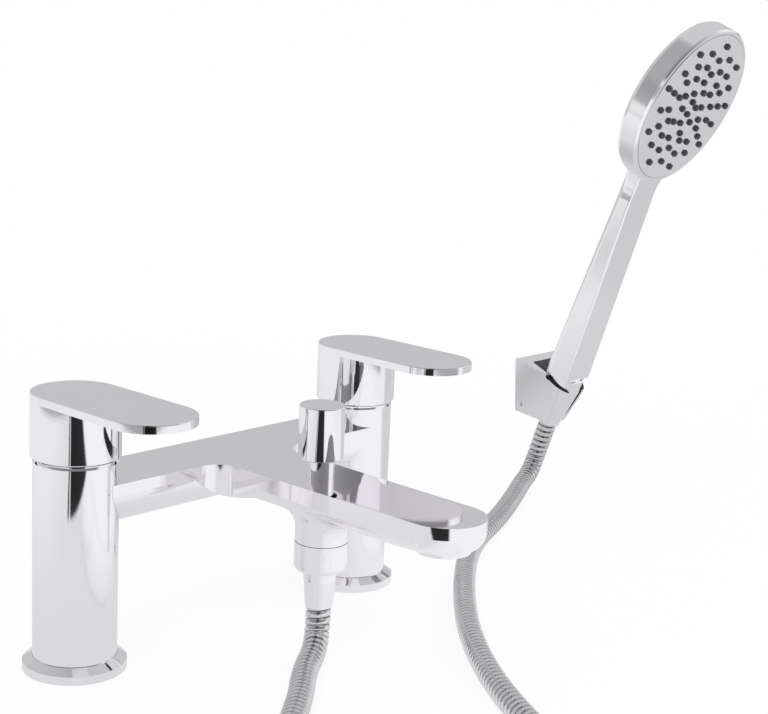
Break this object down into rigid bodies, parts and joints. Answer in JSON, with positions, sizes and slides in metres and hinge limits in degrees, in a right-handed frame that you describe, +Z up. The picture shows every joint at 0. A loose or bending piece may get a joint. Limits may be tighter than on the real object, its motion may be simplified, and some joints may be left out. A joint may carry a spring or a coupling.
{
  "type": "bath and shower mixer",
  "caption": "Chrome two-pillar bath mixer with flat bridge spout, pull-up diverter, ribbed shower hose, wall bracket and round hand shower.",
  "frame": {"origin": "deck plane, midway between the two pillar axes", "axes": "+Z up, -Y along the spout towards the bather, +X towards the right pillar and the wall bracket"},
  "size_m": [0.57, 0.397, 0.3507],
  "materials": {
    "chrome": "polished chrome plate on brass",
    "brass": "machined",
    "chromed_abs": "chrome plated",
    "rubber": "matt",
    "black_plastic": "moulded",
    "white_plastic": "moulded",
    "steel": "plain",
    "hose_steel": "polished, ribbed",
    "ceramic": "lapped ceramic"
  },
  "bodies": {
    "mixer": {"aerator_core": "white_plastic", "aerator_housing": "chrome", "aerator_seal": "rubber", "backnuts": "brass", "base_gaskets": "rubber", "bracket_body": "chrome", "bracket_liner": "black_plastic", "bracket_lock_screw": "steel", "bracket_plate": "steel", "bridge_body": "chrome", "check_valve": "white_plastic", "deck_washers": "rubber", "diverter_bonnet": "chrome", "diverter_seal": "rubber", "hose_bracket_run": "hose_steel", "hose_coil": "hose_steel", "hose_collar": "chrome", "hose_ferrule": "chrome", "hose_outlet_run": "hose_steel", "left_base_flange": "chrome", "left_cartridge": "brass", "left_fixed_disc": "ceramic", "left_gland_ring": "chrome", "left_pillar": "chrome", "left_tail": "brass", "outlet_nipple": "brass", "outlet_washer": "rubber", "right_base_flange": "chrome", "right_cartridge": "brass", "right_fixed_disc": "ceramic", "right_gland_ring": "chrome", "right_pillar": "chrome", "right_tail": "brass", "spigot_seals": "rubber"},
    "left_handle": {"left_lever": "chrome", "left_spindle": "brass", "left_turning_disc": "ceramic", "left_lever_screw": "steel"},
    "right_handle": {"right_lever": "chrome", "right_spindle": "brass", "right_turning_disc": "ceramic", "right_lever_screw": "steel"},
    "diverter": {"diverter_knob": "chrome", "diverter_rod": "steel", "diverter_plug": "rubber"},
    "hose_nut": {"handset_nut": "chrome", "handset_washer": "rubber"},
    "handset": {"handset_body": "chromed_abs", "handset_stub": "brass", "spray_face": "chromed_abs", "nozzle_mat": "rubber", "distributor": "white_plastic"}
  },
  "joints": [
    {"name": "left_lever_turn", "type": "hinge", "parent": "mixer", "child": "left_handle", "pos_m": [-0.09, 0, 0.1], "axis": [0, 0, 1], "range_deg": [-90, 0]},
    {"name": "right_lever_turn", "type": "hinge", "parent": "mixer", "child": "right_handle", "pos_m": [0.09, 0, 0.1], "axis": [0, 0, 1], "range_deg": [0, 90]},
    {"name": "diverter_lift", "type": "slide", "parent": "mixer", "child": "diverter", "axis": [0, 0, 1], "range_m": [0, 0.01]},
    {"name": "handset_lift", "type": "slide", "parent": "mixer", "child": "hose_nut", "axis": [0, -0.3057, 0.9521], "range_m": [0, 0.06]},
    {"name": "handset_swivel", "type": "hinge", "parent": "hose_nut", "child": "handset", "pos_m": [0.312, 0.0245, 0.08], "axis": [0, -0.3057, 0.9521], "range_deg": [-90, 90]}
  ]
}
